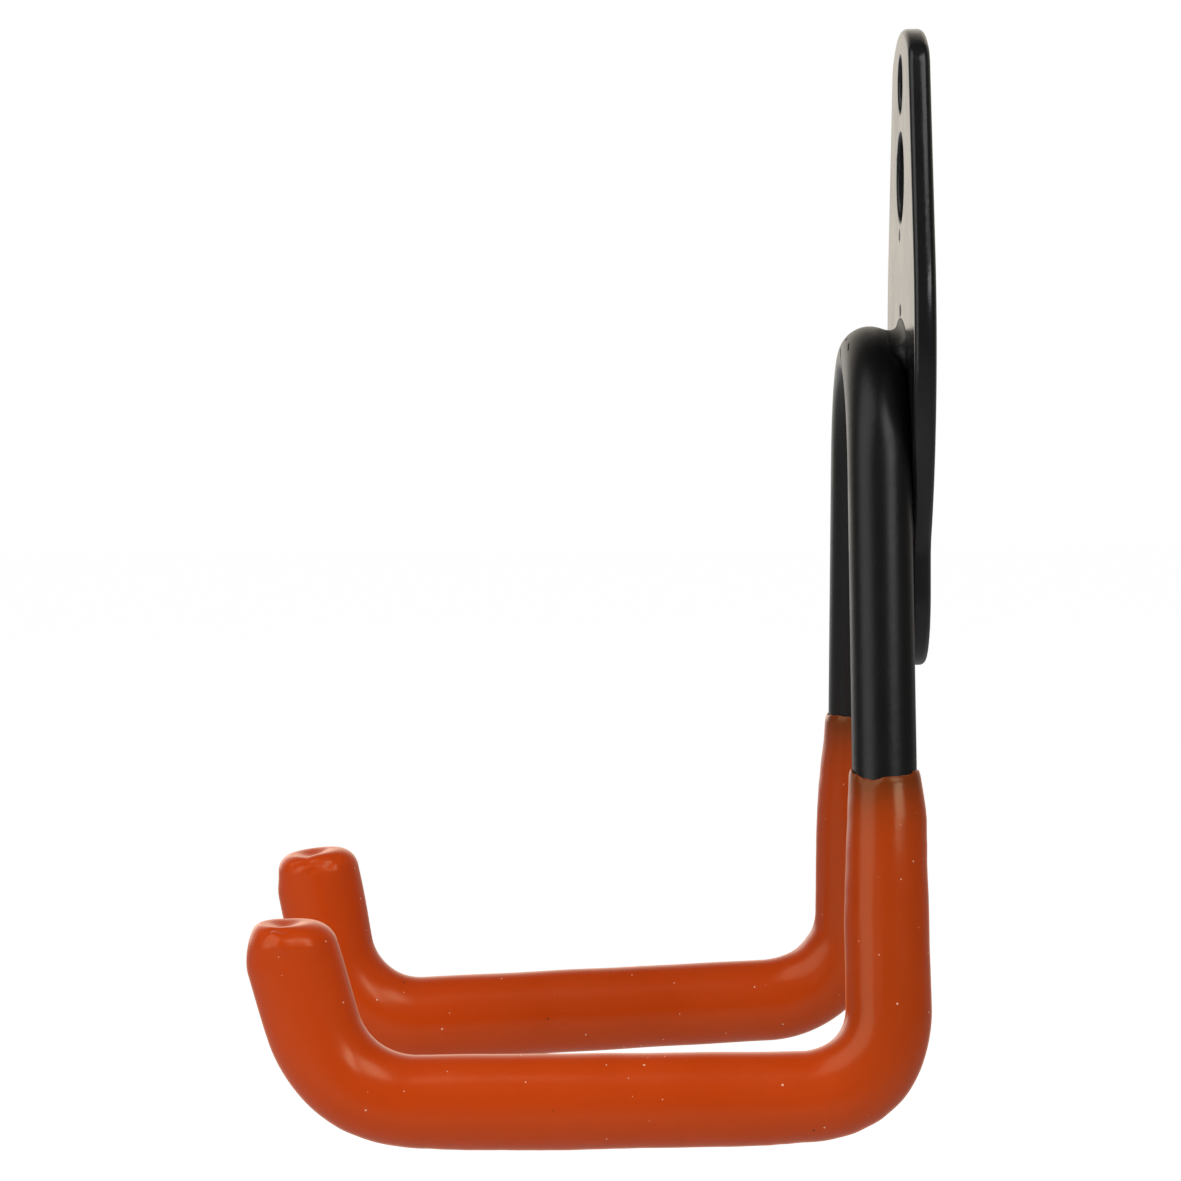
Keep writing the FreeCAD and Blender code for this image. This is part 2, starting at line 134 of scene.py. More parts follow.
# The surround: white to the camera, even for soft light, and for reflections white only behind the
# hook, dimmer past the wall's plane and dark above.
world = bpy.data.worlds.new("studio")
world.use_nodes = True
scene.world = world
soft_strength = 0.5
tree = world.node_tree
tree.nodes.clear()
rays = add(tree, "ShaderNodeLightPath")
toward = add(tree, "ShaderNodeTexCoord")
split = add(tree, "ShaderNodeSeparateXYZ", {0: toward.outputs["Generated"]})
behind = add(tree, "ShaderNodeMapRange", {
    "Value": split.outputs["X"], "From Min": -0.45, "From Max": -0.78, "To Min": 0.04, "To Max": 1.0})
past_wall = add(tree, "ShaderNodeMapRange", {
    "Value": split.outputs["Y"], "From Min": 0.1, "From Max": 0.5, "To Min": 1.0, "To Max": 0.35})
wall_glow = add(tree, "ShaderNodeMapRange", {
    "Value": split.outputs["Y"], "From Min": 0.55, "From Max": 0.75, "To Min": 0.0, "To Max": 0.05})
low_down = add(tree, "ShaderNodeMapRange", {
    "Value": split.outputs["Z"], "From Min": 0.3, "From Max": 0.7, "To Min": 1.06, "To Max": 0.1})
sheet = add(tree, "ShaderNodeMath", {0: past_wall, 1: low_down}, operation="MULTIPLY")
in_mirror = add(tree, "ShaderNodeMath", {0: behind, 1: sheet, 2: wall_glow}, operation="MULTIPLY_ADD")
mirror_rays = add(tree, "ShaderNodeMath", {
    0: rays.outputs["Is Glossy Ray"], 1: rays.outputs["Is Transmission Ray"]}, operation="MAXIMUM")
soft_light = add(tree, "ShaderNodeMix", {
    0: mirror_rays, 2: soft_strength, 3: in_mirror}, data_type="FLOAT")
shown = add(tree, "ShaderNodeMix", {
    0: rays.outputs["Is Camera Ray"], 2: soft_light, 3: 1.0}, data_type="FLOAT")
warmth = add(tree, "ShaderNodeMix", {
    0: mirror_rays, 6: paint("#ffffff"), 7: paint("#fff6e8")}, data_type="RGBA")
sky = add(tree, "ShaderNodeBackground", {"Color": warmth.outputs[2], "Strength": shown})
add(tree, "ShaderNodeOutputWorld", {"Surface": sky})

# The floor: matt white paper, lit by the lamps, kept white to the camera by a little light of its own
# and half as bright in reflections.
floor_height = -0.4
floor_reach = 6.0
floor_glow = 0.62
mirror_share = 0.5
floor_sheet = bpy.data.meshes.new("floor")
floor_sheet.from_pydata(
    [(x * floor_reach, y * floor_reach, floor_height) for x, y in ((-1, -1), (1, -1), (1, 1), (-1, 1))],
    [], [(0, 1, 2, 3)])
floor = bpy.data.objects.new("floor", floor_sheet)
scene.collection.objects.link(floor)
paper = bpy.data.materials.new("white_floor_paper")
paper.use_nodes = True
tree = paper.node_tree
tree.nodes.clear()
rays = add(tree, "ShaderNodeLightPath")
lit = add(tree, "ShaderNodeBsdfDiffuse", {"Color": paint("#e0e0e0")})
mirror_rays = add(tree, "ShaderNodeMath", {
    0: rays.outputs["Is Glossy Ray"], 1: rays.outputs["Is Transmission Ray"]}, operation="MAXIMUM")
glow = add(tree, "ShaderNodeEmission", {"Strength": floor_glow})
dark = add(tree, "ShaderNodeBsdfDiffuse", {"Color": paint("#000000")})
for_camera = add(tree, "ShaderNodeMixShader", {0: rays.outputs["Is Camera Ray"], 2: glow})
for_mirrors = add(tree, "ShaderNodeMath", {0: mirror_rays, 1: mirror_share}, operation="MULTIPLY")
dimmed = add(tree, "ShaderNodeMixShader", {0: for_mirrors, 1: lit, 2: dark})
whiten = add(tree, "ShaderNodeAddShader", {0: dimmed, 1: for_camera})
add(tree, "ShaderNodeOutputMaterial", {"Surface": whiten})
floor.data.materials.append(paper)


# Back plate: a blanked steel plate with three screw holes, powder coated black together with the
# bar. Its form is the CAD plate's own.
def smooth_copy(node, name):
    """A copy of a CAD node's mesh with its points joined, smooth except at its corners."""
    same_point = 0.002 * MM
    corner_angle = math.radians(28)
    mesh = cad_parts[node].data.copy()
    mesh.name = name
    shape = bmesh.new()
    shape.from_mesh(mesh)
    bmesh.ops.remove_doubles(shape, verts=shape.verts, dist=same_point)
    bmesh.ops.dissolve_degenerate(shape, edges=shape.edges, dist=same_point)
    for face in shape.faces:
        face.smooth = True
    for edge in shape.edges:
        edge.smooth = len(edge.link_faces) == 2 and edge.calc_face_angle() < corner_angle
    shape.to_mesh(mesh)
    shape.free()
    mesh.materials.clear()
    made = bpy.data.objects.new(name, mesh)
    scene.collection.objects.link(made)
    return made


def specks(tree, place, spacing, limit, size, shift=(0.0, 0.0, 0.0)):
    """1 inside round specks, 0 elsewhere.

    The cells are spacing mm apart, and one holds a speck if its random draw is above the limit. The
    largest speck's radius is size times the spacing.
    """
    moved = add(tree, "ShaderNodeVectorMath", {0: place, 1: shift}, operation="ADD")
    cell = add(tree, "ShaderNodeTexVoronoi", {"Vector": moved, "Scale": 1 / (spacing * MM)})
    pick = add(tree, "ShaderNodeSeparateXYZ", {0: cell.outputs["Color"]})
    reach = add(tree, "ShaderNodeMapRange", {
        "Value": pick, "From Min": limit, "From Max": 1.0, "To Min": 0.0, "To Max": size})
    return add(tree, "ShaderNodeMath", {0: cell.outputs["Distance"], 1: reach}, operation="LESS_THAN")


def powder_coat(name, black, grey, smooth, dull, roll=0.0, scuffs=(), crease_shadows=()):
    """Black polyester powder, sprayed dry and baked: satin, with the orange peel that it flows out to.

    A few grains of dust are baked in. roll is how far a blanked plate's back edge drops, in mm. A
    scuff is a spot rubbed dull: its middle and half sizes. A crease shadow is painted shade along a
    bending die's crease: its two ends and half width.
    """
    # Sizes of the patterns, in mm.
    tone_drift = 8.333
    peel_wave = 0.9091
    # The powder's own grain is about 0.05 mm; it is drawn four times as coarse, so that it shows.
    powder_grain = 0.1923
    dust_spacing = 3.846
    made = bpy.data.materials.new(name)
    made.use_nodes = True
    tree = made.node_tree
    tree.nodes.clear()
    place = add(tree, "ShaderNodeTexCoord").outputs["Object"]
    cloud = add(tree, "ShaderNodeTexNoise", {
        "Vector": place, "Scale": 1 / (tone_drift * MM), "Detail": 3.0})
    peel = add(tree, "ShaderNodeTexNoise", {
        "Vector": place, "Scale": 1 / (peel_wave * MM), "Detail": 2.0})
    grain = add(tree, "ShaderNodeTexNoise", {
        "Vector": place, "Scale": 1 / (powder_grain * MM), "Detail": 1.0})
    colour = add(tree, "ShaderNodeMix", {
        0: cloud.outputs["Fac"], 6: paint(black), 7: paint(grey)}, data_type="RGBA")
    dust = specks(tree, place, dust_spacing, limit=0.8, size=0.03)
    dusted = add(tree, "ShaderNodeMix", {
        0: dust, 6: colour.outputs[2], 7: paint("#6b6a66")}, data_type="RGBA")
    gloss = add(tree, "ShaderNodeMapRange", {
        "Value": cloud.outputs["Fac"], "From Min": 0.3, "From Max": 0.7,
        "To Min": smooth, "To Max": dull})
    fine = add(tree, "ShaderNodeBump", {
        "Height": grain.outputs["Fac"], "Strength": 0.3, "Distance": 0.025 * MM})
    relief = add(tree, "ShaderNodeBump", {
        "Height": peel.outputs["Fac"], "Strength": 0.4, "Distance": 0.05 * MM, "Normal": fine})
    if roll:
        roll_depth = 1.5
        split = add(tree, "ShaderNodeSeparateXYZ", {0: place})
        back_half = add(tree, "ShaderNodeMapRange", {
            "Value": split.outputs["Y"], "From Min": -roll_depth * MM, "From Max": 0.0,
            "To Min": 0.0, "To Max": 1.0})
        roll_drop = add(tree, "ShaderNodeMath", {0: back_half, 1: 2.0}, operation="POWER")
        relief = add(tree, "ShaderNodeBump", {
            "Height": roll_drop, "Strength": 1.0, "Distance": roll * MM, "Normal": relief},
            invert=True)
    roughness = gloss
    rubbed = 0.7
    for spot, size in scuffs:
        away = add(tree, "ShaderNodeVectorMath", {
            0: place, 1: [v * MM for v in spot]}, operation="SUBTRACT")
        squeezed = add(tree, "ShaderNodeVectorMath", {
            0: away, 1: [1 / (v * MM) for v in size]}, operation="MULTIPLY")
        span = add(tree, "ShaderNodeVectorMath", {0: squeezed}, operation="LENGTH")
        ragged = add(tree, "ShaderNodeMath", {
            0: grain.outputs["Fac"], 1: 1.4, 2: span.outputs["Value"]}, operation="MULTIPLY_ADD")
        roughness = add(tree, "ShaderNodeMapRange", {
            "Value": ragged, "From Min": 1.3, "From Max": 1.8, "To Min": rubbed, "To Max": roughness})
    coat = add(tree, "ShaderNodeBsdfPrincipled", {
        "Base Color": dusted.outputs[2], "Roughness": roughness, "IOR": 1.5, "Normal": relief})
    surface = coat
    # painted shade: a dark matt line along each crease, for the shadow that falls in it
    for first, last, width in crease_shadows:
        run = Vector(last) - Vector(first)
        offset = add(tree, "ShaderNodeVectorMath", {
            0: place, 1: [v * MM for v in first]}, operation="SUBTRACT")
        along = add(tree, "ShaderNodeVectorMath", {
            0: offset, 1: run / (run.length_squared * MM)}, operation="DOT_PRODUCT")
        held = add(tree, "ShaderNodeMath", {
            0: along.outputs["Value"], 1: 0.0}, operation="ADD", use_clamp=True)
        nearest = add(tree, "ShaderNodeVectorMath", {0: run * MM, "Scale": held}, operation="SCALE")
        gap = add(tree, "ShaderNodeVectorMath", {0: offset, 1: nearest}, operation="DISTANCE")
        depth = add(tree, "ShaderNodeMapRange", {
            "Value": gap.outputs["Value"], "From Min": width * MM, "From Max": width * 0.4 * MM,
            "To Min": 0.0, "To Max": 0.85})
        shade = add(tree, "ShaderNodeBsdfDiffuse", {"Color": paint("#0c0c0c")})
        surface = add(tree, "ShaderNodeMixShader", {0: depth, 1: surface, 2: shade})
    add(tree, "ShaderNodeOutputMaterial", {"Surface": surface})
    return made


# Spots rubbed dull on the plate's face, and how far its blanked edge rolls back, in mm.
plate_scuffs = [((-1.0, -2.8, -19.4), (1.3, 0.5, 0.9)), ((0.2, -2.8, -29.1), (1.6, 0.5, 0.9)),
                ((-4.7, -2.8, -9.4), (1.0, 0.5, 0.7))]
edge_roll = 0.36
plate_finish = powder_coat(
    "powder_coat_on_plate", "#131314", "#1c1c1d", 0.17, 0.22, roll=edge_roll, scuffs=plate_scuffs)
plate = smooth_copy("back_plate", "plate")
plate.data.materials.append(plate_finish)
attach(plate, "root")
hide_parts("back_plate")

# Hook bar: 8 mm round steel bar, bent cold five times, welded to the plate at the crown and powder
# coated. Its corners are where the straight stretches would meet; each bend rounds off one of them.
plate_front = -2.8
bar_radius = 4.0
bar_plane = plate_front - bar_radius
crown_bend = 17.9
crown_middle = Vector((0, plate_front, -53.0))
leg_splay = math.radians(11.3)
leg_meeting = Vector((0, bar_plane, crown_middle.z + crown_bend / math.sin(leg_splay)))
toe_in = math.radians(2.5)
arm_height = -125.4
end_film = 2.6
tip_bend = 12.9
arms = {
    "right": {"side": 1, "bend": 10.7, "reach": 68.1, "droop": 1.0, "lean": 15.9, "tip": 23.4,
              "dip": -86.9},
    "left": {"side": -1, "bend": 13.0, "reach": 71.9, "droop": 2.4, "lean": 10.6, "tip": 24.9,
             "dip": -84.5},
}
for arm in arms.values():
    side = arm["side"]
    droop = math.radians(arm["droop"])
    lean = math.radians(arm["lean"])
    arm["leg"] = Vector((side * math.sin(leg_splay), 0, -math.cos(leg_splay)))
    run = Vector((-side * math.sin(toe_in) * math.cos(droop), -math.cos(toe_in) * math.cos(droop),
                  -math.sin(droop)))
    tip = Vector((-side * math.sin(toe_in) * math.sin(lean), -math.cos(toe_in) * math.sin(lean),
                  math.cos(lean)))
    arm["corner"] = leg_meeting + arm["leg"] * ((arm_height - leg_meeting.z) / arm["leg"].z)
    arm["turn"] = arm["corner"] + run * arm["reach"]
    arm["end"] = arm["turn"] + tip * arm["tip"]
    arm["bar_end"] = arm["end"] - tip * end_film
left, right = arms["left"], arms["right"]
bar_corners = [left["bar_end"], left["turn"], left["corner"], leg_meeting,
               right["corner"], right["turn"], right["bar_end"]]
bar_bends = [0, tip_bend, left["bend"], crown_bend, right["bend"], tip_bend, 0]


def socket_of(tree, name, kind="NodeSocketFloat", way="INPUT"):
    """Gives a node tree a named input or output."""
    return tree.interface.new_socket(name=name, in_out=way, socket_type=kind)


def bake(base, tree, values, name):
    """Runs a node tree on a mesh and keeps the result as a plain piece."""
    maker = bpy.data.objects.new(name + "_base", base)
    scene.collection.objects.link(maker)
    steps = maker.modifiers.new(name, "NODES")
    steps.node_group = tree
    for item in tree.interface.items_tree:
        if item.in_out == "INPUT" and item.name in values:
            steps[item.identifier] = values[item.name]
    look = bpy.context.evaluated_depsgraph_get()
    made = bpy.data.meshes.new_from_object(maker.evaluated_get(look), depsgraph=look)
    made.name = name
    bpy.data.objects.remove(maker)
    piece = bpy.data.objects.new(name, made)
    scene.collection.objects.link(piece)
    return piece


bender = bpy.data.node_groups.new("bent_bar", "GeometryNodeTree")
socket_of(bender, "Geometry", "NodeSocketGeometry")
socket_of(bender, "Bar Radius")
socket_of(bender, "Steps in a Bend", "NodeSocketInt")
socket_of(bender, "Sides", "NodeSocketInt")
socket_of(bender, "Finish", "NodeSocketMaterial")
socket_of(bender, "Geometry", "NodeSocketGeometry", "OUTPUT")
given = add(bender, "NodeGroupInput").outputs
line = add(bender, "GeometryNodeMeshToCurve", {"Mesh": given["Geometry"]})
bend = add(bender, "GeometryNodeInputNamedAttribute", {"Name": "bend"}, data_type="FLOAT")
rounded = add(bender, "GeometryNodeFilletCurve", {
    "Curve": line, "Count": given["Steps in a Bend"], "Radius": bend.outputs["Attribute"]},
    mode="POLY")
section = add(bender, "GeometryNodeCurvePrimitiveCircle", {
    "Resolution": given["Sides"], "Radius": given["Bar Radius"]})
swept = add(bender, "GeometryNodeCurveToMesh", {
    "Curve": rounded, "Profile Curve": section, "Fill Caps": True})
shaded = add(bender, "GeometryNodeSetShadeSmooth", {"Geometry": swept})
real = add(bender, "GeometryNodeRealizeInstances", {"Geometry": shaded})
finished = add(bender, "GeometryNodeSetMaterial", {"Geometry": real, "Material": given["Finish"]})
add(bender, "NodeGroupOutput", {"Geometry": finished})

# Painted shade along the die's creases inside the crown's bend: two ends and a half width, in mm.
die_crease_shadows = [((1.4, -10.65, -34.05), (3.0, -10.76, -34.8), 0.34),
               ((3.0, -10.76, -34.8), (6.5, -10.79, -36.6), 0.26),
               ((5.6, -9.9, -33.3), (7.5, -10.04, -34.2), 0.22),
               ((2.1, -9.95, -32.75), (2.7, -9.95, -32.85), 0.3)]
bar_finish = powder_coat("powder_coat_on_bar", "#0b0b0c", "#101011", 0.32, 0.38, crease_shadows=die_crease_shadows)
bar_line = bpy.data.meshes.new("bar_line")
bar_line.from_pydata(
    [corner * MM for corner in bar_corners], [(n, n + 1) for n in range(len(bar_corners) - 1)], [])
at_corners = bar_line.attributes.new("bend", "FLOAT", "POINT")
at_corners.data.foreach_set("value", [bend * MM for bend in bar_bends])
bar = bake(bar_line, bender, {
    "Bar Radius": bar_radius * MM, "Steps in a Bend": 48, "Sides": 96, "Finish": bar_finish}, "bar")
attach(bar, "root")
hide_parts("hook_rod")

# Weld beads: steel, one over the crown and two inside its bend, laid before the powder coat. Each is
# the fillet's section turned about the middle of the bend, rounded off at its ends, with the ripples
# that the weld pool leaves.
weld_root = 1.2
weld_reach = 5.0
weld_climb = math.radians(66)
weld_hollow = 0.75
weld_end = 2.6
weld_pitch = 1.1
weld_ripple = 0.03
weld_unevenness = 0.12
# At an end the bead's scale is the root of this less 1, so that it ends blunt.
blunt_end = 1.02
# How far the ripples of the weld pool bow, as a share of the pitch.
pool_lag = 0.45
# Cells of noise to the metre: the bead swells and narrows about every 4 mm.
weld_wander = 260.0

climb_out = bar_radius * math.sin(weld_climb)
climb_off = bar_radius - bar_radius * math.cos(weld_climb)
weld_width = math.hypot(weld_reach - climb_out, climb_off)
weld_section = []
face_steps = 14
bar_steps = 6
for step in range(face_steps + 1):
    share = step / face_steps
    sink = weld_hollow * 4 * share * (1 - share) / weld_width
    weld_section.append((weld_reach + (climb_out - weld_reach) * share - sink * climb_off,
                         climb_off * share - sink * (weld_reach - climb_out), share))
root_angle = math.asin(weld_root / bar_radius)
for step in range(1, bar_steps + 1):
    around = weld_climb + (root_angle - weld_climb) * step / bar_steps
    weld_section.append((bar_radius * math.sin(around), bar_radius - bar_radius * math.cos(around), 1.0))
weld_section.append((weld_root, 0.0, 0.0))

welder = bpy.data.node_groups.new("weld_bead", "GeometryNodeTree")
socket_of(welder, "Geometry", "NodeSocketGeometry")
for name in ("Radius", "Start", "Sweep", "End Length", "Pitch", "Ripple", "Unevenness"):
    socket_of(welder, name)
socket_of(welder, "Steps", "NodeSocketInt")
socket_of(welder, "Middle", "NodeSocketVector")
socket_of(welder, "Finish", "NodeSocketMaterial")
socket_of(welder, "Geometry", "NodeSocketGeometry", "OUTPUT")
given = add(welder, "NodeGroupInput").outputs

arc = add(welder, "GeometryNodeCurveArc", {
    "Resolution": given["Steps"], "Radius": given["Radius"], "Start Angle": given["Start"],
    "Sweep Angle": given["Sweep"]}, mode="RADIUS")
upright_arc = add(welder, "GeometryNodeSetCurveNormal", {0: arc.outputs["Curve"]}, mode="Z_UP")
travelled = add(welder, "GeometryNodeSplineParameter").outputs["Length"]
whole_length = add(welder, "GeometryNodeSplineLength").outputs["Length"]
marked = add(welder, "GeometryNodeStoreNamedAttribute", {
    "Geometry": upright_arc, "Name": "travel", "Value": travelled}, data_type="FLOAT")
to_go = add(welder, "ShaderNodeMath", {0: whole_length, 1: travelled}, operation="SUBTRACT")
from_end = add(welder, "ShaderNodeMath", {0: travelled, 1: to_go}, operation="MINIMUM")
gone_in = add(welder, "ShaderNodeMath", {
    0: from_end, 1: given["End Length"]}, operation="DIVIDE", use_clamp=True)
short_of = add(welder, "ShaderNodeMath", {0: 1.0, 1: gone_in}, operation="SUBTRACT")
lost = add(welder, "ShaderNodeMath", {0: short_of, 1: short_of}, operation="MULTIPLY")
rounding = add(welder, "ShaderNodeMath", {0: blunt_end, 1: lost}, operation="SUBTRACT")
fullness = add(welder, "ShaderNodeMath", {0: rounding}, operation="SQRT")
outline = add(welder, "GeometryNodeMeshToCurve", {"Mesh": given["Geometry"]})
swept = add(welder, "GeometryNodeCurveToMesh", {
    "Curve": marked, "Profile Curve": outline, "Scale": fullness, "Fill Caps": True})
face_share = add(welder, "GeometryNodeInputNamedAttribute", {"Name": "face"}, data_type="FLOAT")
travel = add(welder, "GeometryNodeInputNamedAttribute", {"Name": "travel"}, data_type="FLOAT")
share_left = add(welder, "ShaderNodeMath", {0: 1.0, 1: face_share}, operation="SUBTRACT")
bow = add(welder, "ShaderNodeMath", {0: face_share, 1: share_left}, operation="MULTIPLY")
on_face = add(welder, "ShaderNodeMath", {0: 4.0, 1: bow}, operation="MULTIPLY")
wander = add(welder, "ShaderNodeTexNoise", {"Scale": weld_wander, "Detail": 1.0})
beats = add(welder, "ShaderNodeMath", {0: travel, 1: given["Pitch"]}, operation="DIVIDE")
lag = add(welder, "ShaderNodeMath", {0: on_face, 1: pool_lag}, operation="MULTIPLY")
drift = add(welder, "ShaderNodeMath", {0: lag, 1: wander}, operation="ADD")
beat = add(welder, "ShaderNodeMath", {0: beats, 1: drift}, operation="ADD")
half_turns = add(welder, "ShaderNodeMath", {0: beat, 1: math.pi}, operation="MULTIPLY")
wave = add(welder, "ShaderNodeMath", {0: half_turns}, operation="SINE")
scallop = add(welder, "ShaderNodeMath", {0: wave}, operation="ABSOLUTE")
ripple = add(welder, "ShaderNodeMath", {0: scallop, 1: given["Ripple"]}, operation="MULTIPLY")
uneven = add(welder, "ShaderNodeMath", {0: wander, 1: given["Unevenness"]}, operation="MULTIPLY")
rise = add(welder, "ShaderNodeMath", {0: ripple, 1: uneven}, operation="ADD")
raised = add(welder, "ShaderNodeMath", {0: on_face, 1: rise}, operation="MULTIPLY")
way_out = add(welder, "GeometryNodeInputNormal")
shift = add(welder, "ShaderNodeVectorMath", {0: way_out, "Scale": raised}, operation="SCALE")
rippled = add(welder, "GeometryNodeSetPosition", {"Geometry": swept, "Offset": shift})
stood = add(welder, "GeometryNodeTransform", {
    "Geometry": rippled, "Translation": given["Middle"], "Rotation": (math.pi / 2, 0, 0)})
shaded = add(welder, "GeometryNodeSetShadeSmooth", {0: stood})
real = add(welder, "GeometryNodeRealizeInstances", {"Geometry": shaded})
finished = add(welder, "GeometryNodeSetMaterial", {"Geometry": real, "Material": given["Finish"]})
add(welder, "NodeGroupOutput", {"Geometry": finished})


def turn_outward(mesh):
    """Makes a closed skin's faces look outward."""
    shape = bmesh.new()
    shape.from_mesh(mesh)
    bmesh.ops.recalc_face_normals(shape, faces=shape.faces)
    shape.to_mesh(mesh)
    shape.free()


weld_finish = powder_coat("powder_coat_on_welds", "#0a0a0b", "#111112", 0.48, 0.58)
# node, side of the bar, start and sweep in degrees, steps
weld_beads = (("crown_weld_bead", 1, 58.0, 64.0, 260), ("right_inner_weld_bead", -1, 11.3, 30.0, 120),
              ("left_inner_weld_bead", -1, 138.7, 30.0, 120))
for node, side, start, sweep, steps in weld_beads:
    base = bpy.data.meshes.new(node + "_section")
    base.from_pydata([(side * (out - weld_root) * MM, -off * MM, 0) for out, off, _ in weld_section],
                     [(n, (n + 1) % len(weld_section)) for n in range(len(weld_section))], [])
    on_section = base.attributes.new("face", "FLOAT", "POINT")
    on_section.data.foreach_set("value", [row[2] for row in weld_section])
    bead = bake(base, welder, {
        "Radius": (crown_bend + side * weld_root) * MM, "Start": math.radians(start),
        "Sweep": math.radians(sweep), "End Length": weld_end * MM, "Pitch": weld_pitch * MM,
        "Ripple": weld_ripple * MM, "Unevenness": weld_unevenness * MM, "Steps": steps,
        "Middle": crown_middle * MM, "Finish": weld_finish}, node.replace("_bead", ""))
    turn_outward(bead.data)
    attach(bead, "root")
    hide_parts(node)

# Vinyl dips: each arm is warmed and lowered into orange vinyl, which gels on the steel. The film is
# thin and wavy at its upper edge, thickens downwards and ends in the dent of the last drop.
dip_feather = 12.0
dip_edge_film = 0.35
dip_leg_film = 1.28
dip_arm_film = 1.74
dip_tip_film = 1.9
end_round = 2.6
end_dent = 0.6


def bent_line(corners, bends, step):
    """Points and headings a step apart along straight stretches joined by round bends."""
    walked = []

    def straight(start, finish):
        count = max(2, round((finish - start).length / step))
        heading = (finish - start).normalized()
        walked.extend((start.lerp(finish, n / count), heading) for n in range(count))

    start = corners[0]
    for before, corner, after, radius in zip(corners, corners[1:], corners[2:], bends):
        back = (before - corner).normalized()
        on = (after - corner).normalized()
        half = back.angle(on) / 2
        cut = radius / math.tan(half)
        middle = corner + (back + on).normalized() * (radius / math.sin(half))
        straight(start, corner + back * cut)
        axis = on.cross(back).normalized()
        spoke = corner + back * cut - middle
        sweep = math.pi - 2 * half
        count = max(4, round(radius * sweep / step))
        for n in range(count):
            turn = Matrix.Rotation(sweep * n / count, 3, axis)
            walked.append((middle + turn @ spoke, turn @ -back))
        start = corner + on * cut
    straight(start, corners[-1])
    walked.append((corners[-1], (corners[-1] - corners[-2]).normalized()))
    return walked


def between(table, place):
    """A smooth value between the rows of a table of places and values."""
    if place <= table[0][0]:
        return table[0][1]
    for (first, low), (last, high) in zip(table, table[1:]):
        if place <= last:
            share = (place - first) / (last - first)
            return low + (high - low) * share * share * (3 - 2 * share)
    return table[-1][1]


